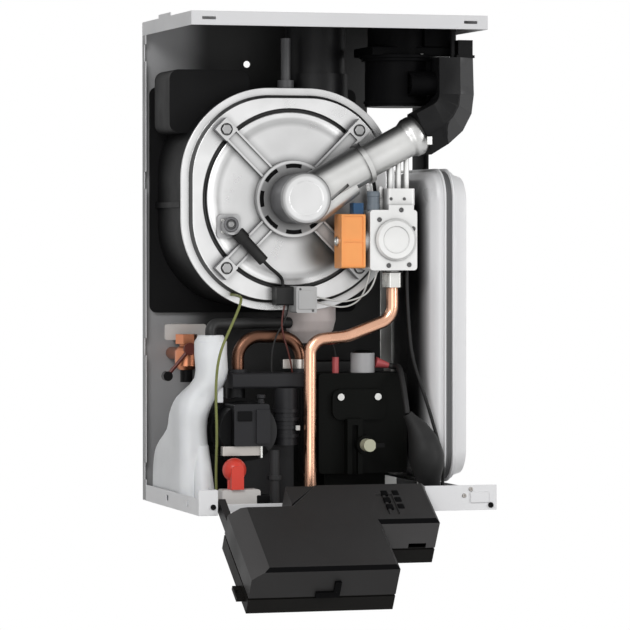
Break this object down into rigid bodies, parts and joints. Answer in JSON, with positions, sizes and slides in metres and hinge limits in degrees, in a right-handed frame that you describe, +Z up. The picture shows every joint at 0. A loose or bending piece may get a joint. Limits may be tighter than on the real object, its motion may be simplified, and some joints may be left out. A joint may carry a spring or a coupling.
{
  "type": "wall-hung gas boiler",
  "caption": "Wall-hung condensing gas boiler with its covers off: round burner door, mixing tube, gas valve, pump, pipes, flat expansion vessel and a hinged control box swung forward.",
  "frame": {"origin": "on the wall face, midway between the two hanging holes", "axes": "+X to the boiler's right seen from the front, +Y into the wall, +Z up"},
  "size_m": [0.44, 0.5013, 0.837],
  "materials": {
    "panel_grey": "satin",
    "panel_white": "satin",
    "shell_black": "matte",
    "steel": "brushed",
    "zinc": "satin",
    "cast_aluminium": "satin",
    "black_plastic": "matte",
    "collar_black": "matte",
    "flue_grey": "matte",
    "sensor_grey": "matte",
    "coil_orange": "gloss",
    "plug_blue": "matte",
    "brass_fittings": "satin",
    "copper": "polished",
    "ceramic_white": "matte",
    "rubber_black": "matte",
    "unit_grey": "matte",
    "lead_grey": "matte",
    "white_plastic": "satin",
    "hose_grey": "matte",
    "clip_steel": "polished",
    "cast_iron_black": "matte",
    "plug_red": "matte",
    "knob_red": "gloss",
    "knob_yellow": "matte",
    "lever_brown": "satin",
    "vessel_grey": "satin",
    "board_green": "matte",
    "display_dark": "gloss",
    "button_grey": "matte",
    "earth_green": "matte",
    "cable_black": "matte"
  },
  "bodies": {
    "boiler": {"back_panel": "panel_grey", "top_panel": "panel_white", "bottom_pan": "panel_white", "exchanger_shell": "shell_black", "exchanger_coil": "steel", "burner_door": "steel", "burner_tube": "steel", "burner_flange": "cast_aluminium", "flange_nuts": "zinc", "mixture_elbow": "cast_aluminium", "elbow_cap": "cast_aluminium", "air_duct": "black_plastic", "fan_housing": "black_plastic", "intake_collar": "collar_black", "flue_socket": "flue_grey", "flue_sensor": "sensor_grey", "gas_valve_body": "cast_aluminium", "gas_valve_cover": "cast_aluminium", "gas_valve_coil": "coil_orange", "coil_plug": "plug_blue", "gas_feed_block": "cast_aluminium", "gas_union": "brass_fittings", "gas_pipe": "copper", "electrode_holder": "ceramic_white", "ignition_boots": "rubber_black", "ignition_unit": "unit_grey", "ignition_lead": "lead_grey", "condensate_bowl": "white_plastic", "condensate_hose": "hose_grey", "siphon_body": "white_plastic", "flow_pipe": "copper", "pipe_clip": "clip_steel", "flow_manifold": "black_plastic", "pump_volute": "cast_iron_black", "pump_motor": "black_plastic", "hydraulic_block": "black_plastic", "plate_exchanger": "steel", "diverter_actuator": "sensor_grey", "sensor_plugs": "plug_red", "relief_valve_body": "white_plastic", "fill_valve_body": "brass_fittings", "pipe_bracket": "white_plastic", "vessel_left": "vessel_grey", "vessel_right": "vessel_grey", "vessel_bracket": "steel", "pipe_tails": "copper", "earth_wire": "earth_green", "harness_cable": "cable_black"},
    "control_box": {"control_cover": "black_plastic", "control_tray": "black_plastic", "circuit_board": "board_green", "display_lens": "display_dark"},
    "button_down": {"button_down": "button_grey"},
    "button_up": {"button_up": "button_grey"},
    "fan_impeller": {"fan_impeller": "black_plastic"},
    "pump_impeller": {"pump_impeller": "black_plastic"},
    "gas_valve_plunger": {"gas_valve_plunger": "zinc"},
    "relief_valve_knob": {"relief_valve_knob": "knob_red"},
    "drain_knob": {"drain_knob": "knob_yellow"},
    "fill_valve_lever": {"fill_valve_lever": "lever_brown"}
  },
  "joints": [
    {"name": "control_box_hinge", "type": "hinge", "parent": "boiler", "child": "control_box", "pos_m": [0, -0.322, -0.638], "axis": [-1, 0, 0], "range_deg": [0, 122]},
    {"name": "button_down_press", "type": "slide", "parent": "control_box", "child": "button_down", "axis": [0, -0.5299, 0.848], "range_m": [0, 0.0015], "stiffness_N_per_m": 600, "springref_m": -0.001},
    {"name": "button_up_press", "type": "slide", "parent": "control_box", "child": "button_up", "axis": [0, -0.5299, 0.848], "range_m": [0, 0.0015], "stiffness_N_per_m": 600, "springref_m": -0.001},
    {"name": "fan_spin", "type": "hinge", "parent": "boiler", "child": "fan_impeller", "pos_m": [0.122, -0.172, -0.04], "axis": [0, 0, 1], "continuous": true},
    {"name": "pump_spin", "type": "hinge", "parent": "boiler", "child": "pump_impeller", "pos_m": [-0.122, -0.18, -0.5355], "axis": [0, 1, 0], "continuous": true},
    {"name": "gas_plunger_slide", "type": "slide", "parent": "boiler", "child": "gas_valve_plunger", "axis": [1, 0, 0], "range_m": [0, 0.003], "stiffness_N_per_m": 500, "springref_m": -0.002},
    {"name": "relief_knob_turn", "type": "hinge", "parent": "boiler", "child": "relief_valve_knob", "pos_m": [-0.15, -0.2635, -0.616], "axis": [0, 0, 1], "range_deg": [0, 90]},
    {"name": "drain_knob_turn", "type": "hinge", "parent": "boiler", "child": "drain_knob", "pos_m": [0.053, -0.2393, -0.5575], "axis": [0, 1, 0], "range_deg": [0, 90]},
    {"name": "fill_lever_turn", "type": "hinge", "parent": "boiler", "child": "fill_valve_lever", "pos_m": [-0.176, -0.1073, -0.421], "axis": [0, -1, 0], "range_deg": [0, 41]}
  ]
}
